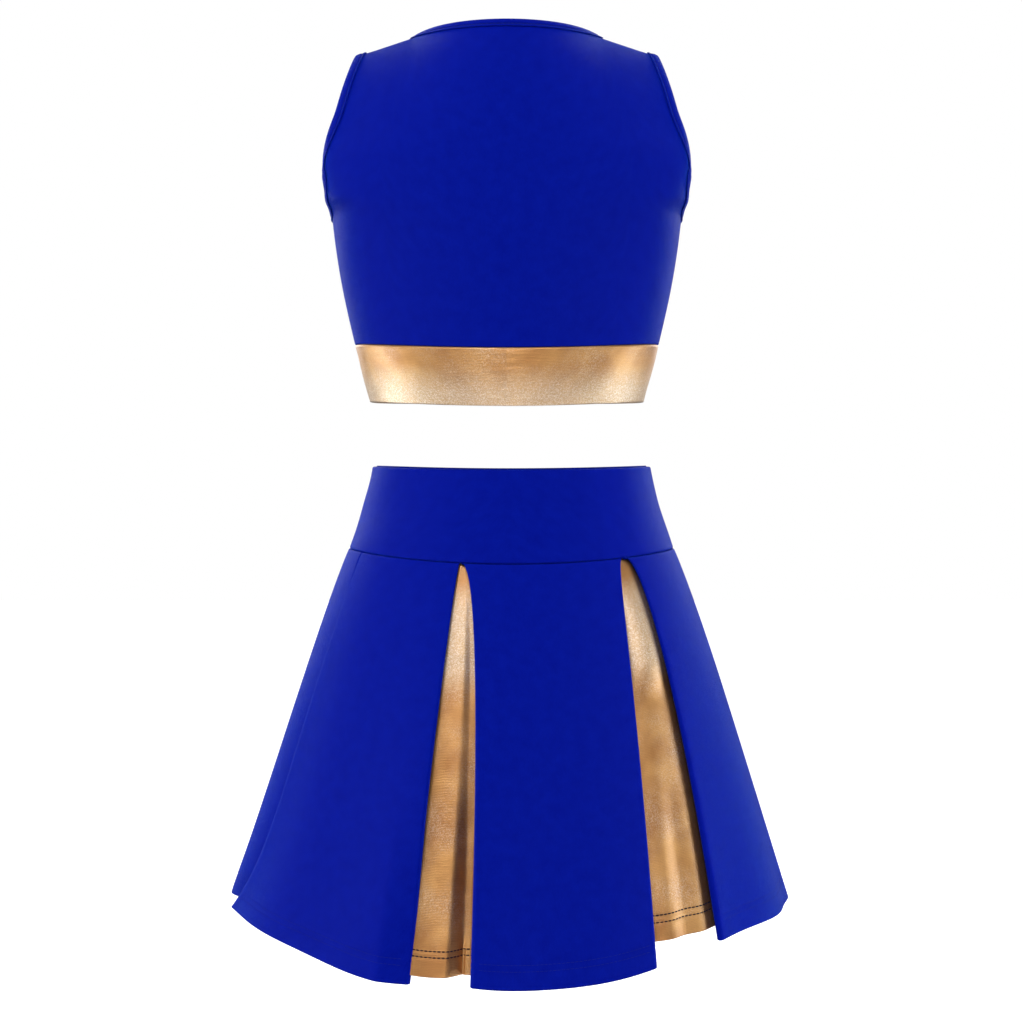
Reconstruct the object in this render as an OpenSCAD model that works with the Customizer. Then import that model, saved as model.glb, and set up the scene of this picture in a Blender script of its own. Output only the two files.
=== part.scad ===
// Cheer uniform: a sleeveless crop top worn above a pleated skirt.
//
// The origin is the centre of the waist opening. +Z points up, the wearer's
// back faces -Y and the wearer's left side is at -X. Lengths are millimetres.
// An angle of 0 points at the wearer's back and 90 at the wearer's right.

/* [Waistband] */
// Half the width of the waist opening, outside
waist_half_w = 120; // [105:1:140]
// Half the depth of the waist opening, outside
waist_half_d = 86; // [75:1:100]
// Half the width at the seam below the waistband
hip_half_w = 140; // [125:1:160]
// Half the depth at the seam below the waistband
hip_half_d = 98; // [88:1:115]
// Height of the waistband at the wearer's sides
band_h = 70; // [50:1:90]
// How much lower the top edge lies at the front and back than at the sides
waist_dip = 2.5; // [0:0.5:6]
// How much lower the seam lies at the front and back than at the sides
seam_dip = 9; // [0:1:15]
// Height of the elastic inside the waistband's top
elastic_h = 32; // [20:1:40]

/* [Skirt] */
// Half the width at the hem
hem_half_w = 238; // [200:1:260]
// Half the depth at the hem
hem_half_d = 186; // [160:1:210]
// Drop from the waist to the hem at its highest place
hem_drop = 368; // [300:1:420]
// How much lower the hem hangs at the front and back than at the sides
hem_dip = 35; // [0:1:50]
// Turn of the hem's low places away from the wearer's middle
hem_lean = 8; // [0:1:15]
// How far the flare swells past a straight line
flare_swell = 4; // [0:1:10]
// Size of every pleat's opening against how they hang at rest
pleat_opening = 1; // [0.5:0.05:1.2]
// How far a pleat's side turns in at the hem
pleat_depth = 13; // [8:1:24]
// How far a panel's folded edges stand out at the hem
edge_lift = 5; // [0:1:10]
// How far an insert swells outwards at the hem
insert_swell = 6; // [0:1:7]
// How much higher the inserts end than the panels
insert_rise = 7; // [0:1:12]

/* [Top] */
// Height of the gold band's lower edge above the waist
top_low_z = 56; // [40:1:80]
// Height of the gold band
gold_band_h = 48; // [35:1:60]
// How much lower the band hangs at the front and back than at the sides
band_dip = 6; // [0:1:10]
// Height of the armhole's lowest point above the waist
underarm_z = 212; // [190:1:230]
// Height above the waist where the shoulders start to round over
chest_z = 250; // [240:1:265]
// Height of the shoulder's outer tip above the waist
shoulder_tip_z = 354; // [335:1:380]
// Half the width between the shoulders' outer tips
shoulder_half_w = 130; // [120:1:145]
// Half the width of the neck opening
neck_half_w = 88; // [70:1:95]
// Rise of the shoulder from its outer tip to the neck
shoulder_rise = 10; // [5:1:25]
// Drop of the back neckline below the neck point
back_neck_drop = 0.5; // [0:0.5:20]
// Drop of the front neckline below the neck point
front_neck_drop = 62; // [30:1:80]
// How far the armhole is open on either side of the shoulder line
armhole_half_d = 45; // [35:1:55]
// Width of the armhole binding
arm_binding_w = 8; // [6:0.5:10]
// Width of the neck binding
neck_binding_w = 6; // [4:0.5:8]

/* [Cloth] */
// Thickness of one layer of cloth, with its seam allowances
cloth_t = 1.4; // [1:0.1:2]
// Space left between neighbouring pieces
seam_gap = 0.4; // [0.3:0.1:0.6]

/* [Hidden] */

royal_blue = [0.03, 0.09, 0.62];
lining_blue = [0.05, 0.10, 0.50];
elastic_white = [0.92, 0.92, 0.90];
foil_gold = [0.80, 0.62, 0.36];

// The pleats, from the one just left of the wearer's middle back and on round
// anticlockwise from above: where each one's first folded edge lies at the
// seam and at the hem, how late it gets there, how wide the pleat opens at
// the hem and how soon.
fold_seam_angles = [-17.7, 41.2, 111.8, 167.8, 219.8, 292.5];
fold_hem_angles = [-20, 28.4, 101.5, 160.5, 210.5, 283];
fold_powers = [0.5, 0.5, 0.5, 0.5, 0.5, 4];
pleat_gaps = [50, 65, 51, 50, 52, 12];
gap_powers = [0.52, 0.36, 0.5, 0.45, 0.5, 0.6];
pleat_count = len(pleat_gaps);
closed_gap = 1;
full_gap = 50;
closed_depth = 3;
insert_margin = 2;
hem_power = 2.6;

// Outline of the top from its lower edge to the shoulder's tip, as half the
// width at each height, and how far its back and front stand out.
top_stations = [top_low_z, 104, 158, underarm_z, 258, 310, shoulder_tip_z];
top_half_widths = [118, 130.5, 142.3, 150.2, 157, 146, shoulder_half_w];
top_half_d_low = 86;
top_half_d_back = 92;
top_half_d_front = 102;
round_power = 2.2;
torso_squareness = 0.42;
shoulder_end_angle = 89.6;
neck_rise = 55;

panel_columns = 9;
panel_rows = 9;
insert_columns = 5;
top_columns = 21;
armhole_rows = 4;
top_body_rows = 5;
top_shoulder_rows = 8;
ring_columns = 44;
ring_rows = 4;
edge_stations = 14;
tube_sides = 8;

// ---- small helpers ----

function lerp(a, b, f) = a + (b - a) * f;
function clamp01(f) = min(1, max(0, f));
function smooth(f) = clamp01(f) * clamp01(f) * (3 - 2 * clamp01(f));
function unit(v) = v / norm(v);
function square_cos(angle) = cos(angle) * cos(angle);

// Values from 0 to 1 in the given number of steps
function steps(count) = [for (i = [0:count]) i / count];

// Smooth curve through the values at rising stations
function slope_at(xs, ys, i) =
    let(a = max(i - 1, 0), b = min(i + 1, len(xs) - 1)) (ys[b] - ys[a]) / (xs[b] - xs[a]);
function span_of(xs, x, i = 0) = (i >= len(xs) - 2 || x < xs[i + 1]) ? i : span_of(xs, x, i + 1);
function curve(xs, ys, x) =
    let(
        i = span_of(xs, x),
        h = xs[i + 1] - xs[i],
        f = clamp01((x - xs[i]) / h),
        rise_in = slope_at(xs, ys, i) * h,
        rise_out = slope_at(xs, ys, i + 1) * h,
        back = 1 - f
    )
    ys[i] * (1 + 2 * f) * back * back + rise_in * f * back * back
    + ys[i + 1] * f * f * (3 - 2 * f) - rise_out * f * f * back;

// ---- sheets: closed solids made from a grid of points ----
// A grid's rows run downwards and its columns run anticlockwise from above.

function across(grid, i, j, closed) =
    let(n = len(grid[i]))
    closed ? grid[i][(j + 1) % n] - grid[i][(j + n - 1) % n]
           : grid[i][min(j + 1, n - 1)] - grid[i][max(j - 1, 0)];
function down(grid, i, j) = grid[min(i + 1, len(grid) - 1)][j] - grid[max(i - 1, 0)][j];
function inner_grid(grid, thickness, closed) = [
    for (i = [0:len(grid) - 1]) [
        for (j = [0:len(grid[i]) - 1])
            grid[i][j] + thickness * unit(cross(across(grid, i, j, closed), down(grid, i, j)))
    ]
];
function flatten(list) = [for (row = list) for (item = row) item];
function quad(a, b, c, d) = [[a, b, c], [a, c, d]];

// Solid between a grid and the same grid moved inwards by the thickness.
// A closed sheet goes all the way round, and an open one has two side edges.
module sheet(grid, thickness, closed = false) {
    rows = len(grid);
    columns = len(grid[0]);
    total = rows * columns;
    strips = closed ? columns : columns - 1;
    last = rows - 1;
    points = concat(flatten(grid), flatten(inner_grid(grid, thickness, closed)));
    faces_out = [
        for (i = [0:last - 1]) for (j = [0:strips - 1])
            let(k = (j + 1) % columns, a = i * columns, b = a + columns)
            each quad(a + j, a + k, b + k, b + j)
    ];
    faces_in = [for (face = faces_out) [face[0] + total, face[2] + total, face[1] + total]];
    rim_top = [
        for (j = [0:strips - 1])
            let(k = (j + 1) % columns)
            each quad(j, j + total, k + total, k)
    ];
    rim_low = [
        for (j = [0:strips - 1])
            let(k = (j + 1) % columns, a = last * columns)
            each quad(a + j, a + k, a + k + total, a + j + total)
    ];
    rim_sides = closed ? [] : [
        for (i = [0:last - 1])
            let(a = i * columns, b = a + columns, e = columns - 1)
            each concat(quad(a, b, b + total, a + total),
                        quad(b + e, a + e, a + e + total, b + e + total))
    ];
    polyhedron(points, concat(faces_out, faces_in, rim_top, rim_low, rim_sides), convexity = 8);
}

// Flattened tube round a closed path. The tube lies beside the path, on the
// side that each station's outward direction points to.
module edge_tube(path, outwards, width, thickness) {
    n = len(path);
    points = [
        for (i = [0:n - 1])
            let(
                along = unit(path[(i + 1) % n] - path[(i + n - 1) % n]),
                out = unit(outwards[i] - (outwards[i] * along) * along),
                face = cross(along, out),
                middle = path[i] + out * (width / 2 + seam_gap)
            )
            for (s = [0:tube_sides - 1])
                let(turn = 360 * s / tube_sides)
                middle + out * (width / 2 * cos(turn)) + face * (thickness / 2 * sin(turn))
    ];
    faces = [
        for (i = [0:n - 1]) for (s = [0:tube_sides - 1])
            let(a = i * tube_sides, b = ((i + 1) % n) * tube_sides, t = (s + 1) % tube_sides)
            each quad(a + s, a + t, b + t, b + s)
    ];
    polyhedron(points, faces, convexity = 8);
}

// ---- waistband ----

function waist_z(angle) = -waist_dip * square_cos(angle);
function seam_z(angle) = -(band_h + seam_dip * square_cos(angle));
function waistband_point(angle, f, depth = 0) =
    let(
        spread = pow(f, 1.25),
        half_w = lerp(waist_half_w, hip_half_w, spread) - depth,
        half_d = lerp(waist_half_d, hip_half_d, spread) - depth
    )
    [half_w * sin(angle), -half_d * cos(angle), lerp(waist_z(angle), seam_z(angle), f)];

// Ring of the waistband's shape at a depth behind its face, between two
// fractions of its height
module waistband_ring(depth, thickness, from_f, to_f) {
    grid = [
        for (f = steps(ring_rows)) [
            for (j = [0:ring_columns - 1])
                waistband_point(360 * j / ring_columns, lerp(from_f, to_f, f), depth)
        ]
    ];
    sheet(grid, thickness, closed = true);
}

module waistband() {
    color(royal_blue) waistband_ring(0, cloth_t, 0, 1);
}

module waist_elastic() {
    color(elastic_white)
        waistband_ring(cloth_t + seam_gap, cloth_t, 2 / band_h, elastic_h / band_h);
}

module waistband_facing() {
    color(lining_blue)
        waistband_ring(2 * (cloth_t + seam_gap), cloth_t, 1 / band_h, 1);
}

// ---- skirt ----

function hem_z(angle) = -(hem_drop + hem_dip * pow(abs(cos(angle + hem_lean)), hem_power));
function skirt_half_w(f) = lerp(hip_half_w, hem_half_w, f) + flare_swell * sin(180 * pow(f, 0.7));
function skirt_half_d(f) = lerp(hip_half_d, hem_half_d, f) + flare_swell * sin(180 * pow(f, 0.7));
function skirt_point(angle, f, depth = 0) = [
    (skirt_half_w(f) - depth) * sin(angle),
    -(skirt_half_d(f) - depth) * cos(angle),
    lerp(seam_z(angle) - seam_gap, hem_z(angle), f)
];

// Angle that a length along the skirt takes up, at a given place
function degrees_of(length, angle, f) =
    length / norm([skirt_half_w(f) * cos(angle), skirt_half_d(f) * sin(angle)]) * 180 / PI;
function wall_depth(f) = lerp(closed_depth, pleat_depth, f);

// Folded edge of a pleat: side is -1 before the opening and 1 after it. The
// margin moves it away from the opening, under the panel.
function fold_angle(k, side, f, margin = 0) =
    let(
        i = k % pleat_count,
        turn = 360 * floor(k / pleat_count),
        first = lerp(fold_seam_angles[i], fold_hem_angles[i], pow(f, fold_powers[i])) + turn,
        gap = lerp(closed_gap, pleat_gaps[i] * pleat_opening, pow(f, gap_powers[i]))
    )
    first + degrees_of(side < 0 ? -margin : gap + margin, first, f);

// One blue panel between two pleats, with both its edges folded inwards
module skirt_panel(k) {
    grid = [
        for (f = steps(panel_rows))
            let(start = fold_angle(k, 1, f), end = fold_angle(k + 1, -1, f))
            concat(
                [skirt_point(start, f, wall_depth(f))],
                [
                    for (u = steps(panel_columns))
                        let(from_middle = 2 * u - 1)
                        skirt_point(lerp(start, end, u), f, -edge_lift * f * from_middle * from_middle)
                ],
                [skirt_point(end, f, wall_depth(f))]
            )
    ];
    color(royal_blue) sheet(grid, cloth_t);
}

// One gold insert: it closes a pleat behind the panels' folded edges, and
// reaches a little past them. It swells out only inside the opening, and
// less in a narrow one.
module gold_insert(k) {
    low_f = 1 - insert_rise / (hem_drop - band_h);
    full_swell = insert_swell * min(1, pleat_gaps[k] / full_gap);
    grid = [
        for (row_f = steps(panel_rows))
            let(
                f = row_f * low_f,
                depth = wall_depth(f) + 2 * seam_gap,
                start = fold_angle(k, -1, f),
                end = fold_angle(k, 1, f)
            )
            concat(
                [skirt_point(fold_angle(k, -1, f, insert_margin), f, depth)],
                [
                    for (u = steps(insert_columns))
                        let(
                            from_middle = 2 * u - 1,
                            swell = full_swell * f * (1 - from_middle * from_middle)
                        )
                        skirt_point(lerp(start, end, u), f, depth - swell)
                ],
                [skirt_point(fold_angle(k, 1, f, insert_margin), f, depth)]
            )
    ];
    color(foil_gold) sheet(grid, cloth_t);
}

// ---- top ----

function top_half_w(z) = curve(top_stations, top_half_widths, z);

// How far the armhole is open at a height: round at the underarm, from 0 to 1
function armhole_opening(z) =
    let(below_chest = 1 - clamp01((z - underarm_z) / (chest_z - underarm_z)))
    sqrt(1 - below_chest * below_chest);

// Half-depth of the body below the shoulders. side is -1 at the back and 1
// at the front.
function top_half_d(side, z) =
    let(full = side < 0 ? top_half_d_back : top_half_d_front)
    lerp(top_half_d_low, full, smooth((z - top_low_z) / (underarm_z - top_low_z)));

// Depth of the surface at across_f, which runs from -1 to 1 over the width
function top_depth(side, across_f, z) =
    let(
        raised = smooth((z - underarm_z + 25) / 60),
        edge_d = armhole_half_d * raised,
        closing = edge_d - armhole_half_d * armhole_opening(z),
        inside = max(1 - across_f * across_f, 0),
        crown = pow(inside, lerp(torso_squareness, 1, raised))
    )
    seam_gap / 2 + lerp(edge_d, top_half_d(side, z), crown) - closing * pow(abs(across_f), 12);

// The binding takes the outermost part of the armhole's edge
function panel_half_w(z) =
    top_half_w(z) - 0.8 * arm_binding_w * smooth((z - underarm_z) / (chest_z - underarm_z));

// Height of the shoulder line, carried on smoothly over the neck
function shoulder_z(across_f) =
    let(
        x = abs(across_f) * shoulder_half_w,
        slope = shoulder_rise / (shoulder_half_w - neck_half_w),
        inside = 1 - pow(x / neck_half_w, 2),
        level = slope * neck_half_w / 2
    )
    x > neck_half_w
        ? shoulder_tip_z + slope * (shoulder_half_w - x)
        : shoulder_tip_z + shoulder_rise + level * inside + (neck_rise - level) * inside * inside;

// Height of the panel's upper edge: the shoulder seam, or the neckline
function neck_drop(side) = side < 0 ? back_neck_drop : front_neck_drop;
function top_edge_z(side, across_f) =
    let(x_f = abs(across_f) * shoulder_half_w / neck_half_w)
    x_f >= 1
        ? shoulder_z(across_f)
        : shoulder_tip_z + shoulder_rise - neck_drop(side) * pow(1 - pow(x_f, 2.4), 0.8);

// Angle round the shoulder's curve at which the upper edge lies
function edge_turn(side, across_f) =
    let(
        edge_f = (top_edge_z(side, across_f) - chest_z) / (shoulder_z(across_f) - chest_z),
        turn = asin(min(1, pow(clamp01(edge_f), round_power / 2)))
    )
    min(shoulder_end_angle, turn);

function band_top_z(across_f) = top_low_z + gold_band_h - band_dip * (1 - across_f * across_f);

function top_body_point(side, across_f, z) =
    [panel_half_w(z) * across_f, side * top_depth(side, across_f, z), z];
function top_shoulder_point(side, across_f, turn) =
    let(
        z = lerp(chest_z, shoulder_z(across_f), pow(sin(turn), 2 / round_power)),
        rounding = pow(cos(turn), 2 / round_power)
    )
    [panel_half_w(z) * across_f, side * top_depth(side, across_f, z) * rounding, z];

// Height at a fraction of the way from the chest down to the underarm. The
// rows lie closer together near the underarm, where the armhole is round.
function armhole_z(f) = lerp(underarm_z, chest_z, 1 - sin(90 * f));

// Places across one panel, closer together near the side seams
function places_across(side) =
    [for (u = steps(top_columns)) side * cos(180 * u)];

module top_panel(side) {
    places = places_across(side);
    shoulder_rows = [
        for (f = steps(top_shoulder_rows))
            [for (s = places) top_shoulder_point(side, s, edge_turn(side, s) * (1 - f))]
    ];
    chest_rows = [
        for (i = [1:armhole_rows])
            [for (s = places) top_body_point(side, s, armhole_z(i / armhole_rows))]
    ];
    body_rows = [
        for (i = [1:top_body_rows]) [
            for (s = places)
                let(low_z = band_top_z(s) + seam_gap)
                top_body_point(side, s, lerp(underarm_z, low_z, i / top_body_rows))
        ]
    ];
    color(royal_blue) sheet(concat(shoulder_rows, chest_rows, body_rows), cloth_t);
}

module gold_band() {
    low_edge = [for (j = [0:ring_columns - 1]) 360 * j / ring_columns];
    grid = [
        for (f = steps(ring_rows)) [
            for (angle = low_edge)
                let(
                    side = cos(angle) > 0 ? -1 : 1,
                    s = sin(angle),
                    z = band_top_z(s) - gold_band_h * f,
                    inside = max(1 - s * s, 0),
                    depth = top_half_d(side, z) * pow(inside, torso_squareness)
                )
                [top_half_w(z) * s, side * depth, z]
        ]
    ];
    color(foil_gold) sheet(grid, 1.5 * cloth_t, closed = true);
}

// Neckline from one neck point over the back to the other, then the front
function neck_places(side) =
    [for (u = steps(edge_stations)) side * neck_half_w / shoulder_half_w * cos(180 * u)];
function neck_line(side) = [
    for (i = [0:edge_stations - 1])
        let(s = neck_places(side)[i])
        top_shoulder_point(side, s, edge_turn(side, s))
];

module neck_binding() {
    path = concat(neck_line(-1), neck_line(1));
    outwards = [for (p = path) [0, -0.3 * sign(p[1]), 1]];
    color(royal_blue) edge_tube(path, outwards, neck_binding_w, 2 * cloth_t);
}

// Armhole edge of one panel, from the shoulder tip down to the underarm
function armhole_line(side, hand) = concat(
    [
        for (i = [0:edge_stations / 2 - 1])
            top_shoulder_point(side, hand, shoulder_end_angle * (1 - 2 * i / edge_stations))
    ],
    [
        for (i = [0:edge_stations / 2 - 1])
            top_body_point(side, hand, armhole_z(2 * i / edge_stations))
    ]
);

module armhole_binding(hand) {
    down_back = armhole_line(-1, hand);
    down_front = armhole_line(1, hand);
    n = len(down_front);
    underarm = [[hand * panel_half_w(underarm_z), 0, underarm_z]];
    up_front = [for (i = [n - 1:-1:1]) down_front[i]];
    path = concat(down_back, underarm, up_front);
    centre = [hand * shoulder_half_w, 0, lerp(underarm_z, shoulder_tip_z, 0.5)];
    outwards = [for (p = path) unit(centre - p) + [hand, 0, 0]];
    color(royal_blue) edge_tube(path, outwards, arm_binding_w, 2 * cloth_t);
}

// ---- assembly ----

top_panel(-1);  // top_back_panel
top_panel(1);  // top_front_panel
neck_binding();
armhole_binding(-1);  // armhole_binding_left
armhole_binding(1);  // armhole_binding_right
gold_band();
waistband();
waistband_facing();
waist_elastic();
skirt_panel(0);  // skirt_panel_1
skirt_panel(1);  // skirt_panel_2
skirt_panel(2);  // skirt_panel_3
skirt_panel(3);  // skirt_panel_4
skirt_panel(4);  // skirt_panel_5
skirt_panel(5);  // skirt_panel_6
gold_insert(0);  // gold_insert_1
gold_insert(1);  // gold_insert_2
gold_insert(2);  // gold_insert_3
gold_insert(3);  // gold_insert_4
gold_insert(4);  // gold_insert_5
gold_insert(5);  // gold_insert_6
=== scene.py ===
import math

import bpy
import numpy as np
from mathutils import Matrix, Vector


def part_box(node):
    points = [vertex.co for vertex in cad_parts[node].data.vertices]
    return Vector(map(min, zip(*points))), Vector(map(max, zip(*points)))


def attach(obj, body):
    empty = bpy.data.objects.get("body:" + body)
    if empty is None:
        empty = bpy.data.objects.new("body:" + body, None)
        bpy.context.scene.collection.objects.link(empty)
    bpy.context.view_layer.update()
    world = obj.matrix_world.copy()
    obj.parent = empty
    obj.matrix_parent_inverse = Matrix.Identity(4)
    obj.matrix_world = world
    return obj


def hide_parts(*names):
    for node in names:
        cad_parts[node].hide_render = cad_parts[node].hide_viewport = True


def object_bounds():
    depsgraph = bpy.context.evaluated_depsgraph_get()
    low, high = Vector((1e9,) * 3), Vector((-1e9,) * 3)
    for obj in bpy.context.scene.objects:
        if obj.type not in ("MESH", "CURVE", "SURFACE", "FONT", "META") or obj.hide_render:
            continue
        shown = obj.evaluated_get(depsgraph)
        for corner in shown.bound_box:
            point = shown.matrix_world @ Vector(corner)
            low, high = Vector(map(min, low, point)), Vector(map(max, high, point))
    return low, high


# Looks of a cheer uniform: a sleeveless crop top above a pleated skirt.
# +Z is up, the wearer's back faces -Y and the wearer's left is at -X.
# Angles round the body are in degrees: 0 at the back, 90 at the wearer's right.

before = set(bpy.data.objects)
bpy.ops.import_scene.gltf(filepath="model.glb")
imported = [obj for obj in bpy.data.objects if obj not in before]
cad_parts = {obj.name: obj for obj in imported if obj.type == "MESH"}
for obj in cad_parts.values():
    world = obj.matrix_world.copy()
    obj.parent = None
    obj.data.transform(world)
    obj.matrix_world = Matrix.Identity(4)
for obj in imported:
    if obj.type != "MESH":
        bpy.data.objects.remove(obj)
CAD_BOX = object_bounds()

MM = 0.001

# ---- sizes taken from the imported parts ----

YOKE_LOW, YOKE_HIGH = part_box("waistband")
SKIRT_PANELS = sorted(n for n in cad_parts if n.startswith("skirt_panel"))
GOLD_INSERTS = sorted(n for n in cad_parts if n.startswith("gold_insert"))
PLEATS = len(GOLD_INSERTS)

HIP_HALF_W = YOKE_HIGH.x
HIP_HALF_D = YOKE_HIGH.y

# ---- waistband sizes ----
# Only the sizes above and YOKE_H come from the frame. The others are chosen
# here, so the cloth lies up to about 15 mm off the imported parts' surfaces.

WAIST_HALF_W = 120 * MM
WAIST_HALF_D = 86 * MM
WAIST_DIP = 2.5 * MM
SEAM_DIP = 9 * MM
YOKE_H = -YOKE_LOW.z - SEAM_DIP
YOKE_FLARE_POWER = 1.25
YOKE_RIPPLE = 0.35 * MM
YOKE_RIPPLES = 5
YOKE_RIPPLE_DRIFT = 7
YOKE_COLUMNS = 264
LAYER_GAP = 0.4 * MM
ELASTIC_T = 1.0 * MM
ELASTIC_SPACE = 0.6 * MM
ELASTIC_HIGH = 2.5 * MM
ELASTIC_LOW = 34 * MM
FACING_SPACE = 0.8 * MM
FACING_HIGH = 0.2 * MM
FACING_PAST_SEAM = 4 * MM

# ---- skirt shape ----

HEM_HALF_W = 238 * MM
HEM_HALF_D = 186 * MM
HEM_DROP = 368 * MM
HEM_DIP = 35 * MM
HEM_LEAN = 8
HEM_POWER = 2.6
FLARE_SWELL = 4 * MM
FLARE_POWER = 0.7
CLOSED_GAP = 1 * MM
CLOSED_DEPTH = 3 * MM
SEAM_ROLL = 1.6 * MM

# How each pleat hangs, from the one just left of the middle back and on round:
# where its first folded edge lies at the seam and at the hem and how late it
# gets there, its opening at the hem and how soon that opens, and how deep its
# two sides turn in at the hem.
FOLD_SEAM_ANGLES = np.array([-17.7, 41.2, 111.8, 167.8, 219.8, 295])
FOLD_HEM_ANGLES = np.array([-20, 28.5, 101.5, 160.5, 210.5, 284])
FOLD_POWERS = np.array([0.5, 0.5, 0.5, 0.5, 0.5, 8])
PLEAT_GAPS = np.array([50, 61, 51, 50, 52, 2]) * MM
GAP_POWERS = np.array([0.52, 0.42, 0.5, 0.45, 0.5, 0.6])
PLEAT_WALLS = np.array([[10, 20], [15, 9], [13, 12], [12, 13], [13, 12], [6, 12]]) * MM

# From seam to hem: the radius of the rounded folds, and how far the turned-in
# sides reach back under the panels
FOLD_RADII = (0.8 * MM, 3.6 * MM)
TUCKS = (0.4 * MM, 7 * MM)
FOLD_GROWTH = 0.7
TUCK_POWER = 1.4

# How much higher each insert ends than the panels at its two edges, and how
# far it swells out
INSERT_RISES = np.array([[3, 4], [12, 8], [9, 8], [8, 9], [11, 9], [9, 9]]) * MM
INSERT_SWELLS = np.array([4, 6, 5, 6, 5, 2]) * MM

# How far each panel hangs below the plain hem at its two edges and, on top of
# that, in its middle
PANEL_DROPS = np.array([[0, 5], [1, 8], [0, 3], [0, 2], [0, -2], [0, 4]]) * MM
PANEL_SAGS = np.array([5, 1, 2, 3, 2, 1]) * MM

# How far each panel's two edges lift away from the plain flare
PANEL_LIFTS = np.array([[5, 5], [5, 5], [5, 5], [5, 5], [7, -7], [9, 5]]) * MM

# Gentle waves of each panel: how many across, where they start, and how high
# in millimetres. They lean a little on the way down and grow towards the hem.
PANEL_WAVES = [
    (1.3, 0.10, 1.5), (1.8, 0.45, 2.2), (2.2, 0.15, 2.4),
    (1.7, 0.60, 2.2), (2.1, 0.42, 6.5), (1.6, 0.70, 1.8),
]
WAVE_LEAN = 0.12
WAVE_POWER = 1.5
DROP_POWER = 1.5

# The strip at the left panel's edge that bends back along a crease
STRIP_W = 19 * MM
STRIP_TURN = 8 * MM
STRIP_START = 0.5

# A panel's upper edge is carried on up behind the waistband by these rows
ALLOWANCE_UP = np.array([3.2, 2.0, 0.9]) * MM
ALLOWANCE_IN = np.array([1.3, 1.3, 0.9]) * MM

# A panel or an insert runs this far down its slant. Its rows lie closer
# together where the hem is sewn.
SLANT = 330 * MM
SLANT_STEP = 4 * MM
HEM_MARKS = np.arange(1.2, 27, 1.2) * MM
WALL_COLUMNS = 6
ARC_COLUMNS = 8
FACE_COLUMNS = 48
INSERT_COLUMNS = 54

# Shallow furrows along the stitching: their width, and their depth by cloth
FURROW_W = 0.9 * MM
KNIT_FURROW = 0.25 * MM
FOIL_FURROW = 0.35 * MM

# An insert's overlap beyond the pleat's folded edges, as a share of its half
# width, and how it lies behind the pleat
OVERLAP = 0.25
OVERLAP_REACH = 1.5 * MM
INSERT_SPACE = 0.8 * MM
OVERLAP_SINK = 0.6 * MM

# The inserts' own folds. The left one facing the camera has a step and a
# crease, the right one a bulge above a hollow, and the others a soft wave.
STEP_DEPTHS = (2 * MM, 8 * MM)
CREASE_D = 2.6 * MM
BULGE_H = 7.5 * MM
BULGE_END = 0.29
HOLLOW_D = 4.5 * MM
WAVE_D = 2.2 * MM

# ---- top shape ----

TOP_SHIFT = -4 * MM
TOP_LOW_Z = 56 * MM
GOLD_BAND_H = 48 * MM
BAND_DIP = 6 * MM
UNDERARM_Z = 212 * MM
CHEST_Z = 250 * MM
TIP_Z = 354 * MM
SHOULDER_HALF_W = 130 * MM
SHOULDER_RISE = 12.2 * MM
NECK_HALF_W = 88 * MM
NECK_RISE = 55 * MM
NECK_DROP = {-1: 2 * MM, 1: 62 * MM}
TOP_HALF_D = {-1: 92 * MM, 1: 102 * MM}
TOP_HALF_D_LOW = 86 * MM
ARMHOLE_HALF_D = 45 * MM
ARM_BINDING_W = 8 * MM
NECK_BINDING_W = 6 * MM
TOP_STATIONS = np.array([56, 104, 158, 212, 258, 310, 356]) * MM
TOP_HALF_WIDTHS = np.array([118, 130.5, 142.3, 150.0, 152.8, 141.2, 127.5]) * MM
SIDE_GAP = 0.02 * MM
ARMHOLE_RUN = 14 * MM
NECK_S = NECK_HALF_W / SHOULDER_HALF_W
ROUND_POWER = 2.2
SQUARENESS = 0.42
SHOULDER_END = 89.95
NECKLINE_POWERS = (2.4, 0.8)

# The panels' side edges begin to part below the underarm, to make room for
# the armhole. Above it the body's outline grows more evenly round.
PARTING_BELOW = 40 * MM
PARTING_RUN = 90 * MM
ROUNDER_RUN = 80 * MM
SHUT_POWER = 12
BINDING_SHARE = 0.8
BINDING_RUN = 50 * MM
SEARCH_STEPS = 30
TOP_COLUMNS = 150
SHOULDER_ROWS = 44
SHOULDER_ROW_POWER = 1.15
CHEST_ROWS = 21
SIDE_SEAM_ROLL = 1.0 * MM
SIDE_SEAM_FADE = 6 * MM

# The gold band: how much its lower edge lifts at the middle back and front,
# its seam at the middle back with the pucker beside it, its slight belly, and
# the curl of its lower edge
BAND_COLUMNS = 300
BAND_STEP = 2.2 * MM
BAND_LOW_LIFT = {-1: 1 * MM, 1: 7 * MM}
BAND_HEM = GOLD_BAND_H - 3 * MM
BAND_FOLD_R = 1.0 * MM
BACK_ROUNDNESS = 1.35
BAND_SEAM_D = 0.9 * MM
BAND_SEAM_W = 1.1 * MM
BAND_PUCKER_D = 0.3 * MM
BAND_PUCKER_W = 9 * MM
BAND_PUCKER_PITCH = 7 * MM
BAND_BELLY = 0.5 * MM
BAND_BELLIES = 9
BAND_CURL = 2.2 * MM
BAND_CURL_POWER = 2.5

# ---- cloth ----

KNIT_T = 0.8 * MM
FOIL_T = 0.6 * MM
HEM_FOLD_R = 0.9 * MM
HEM_H = 22 * MM
NEEDLE_ROWS = (14 * MM, 19 * MM)
STITCH_PITCH = 3.4 * MM
STITCH_LENGTH = 3.1 * MM
STITCH_SIDES = 6
KNIT_STITCH_R = 0.17 * MM
FOIL_STITCH_R = 0.52 * MM
FOIL_STITCH_MARGIN = 2
GRID_STEP = 3.2 * MM


# ---- small helpers ----

def lerp(a, b, f):
    return a + (b - a) * f


def smooth(f):
    f = np.clip(f, 0, 1)
    return f * f * (3 - 2 * f)


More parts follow.
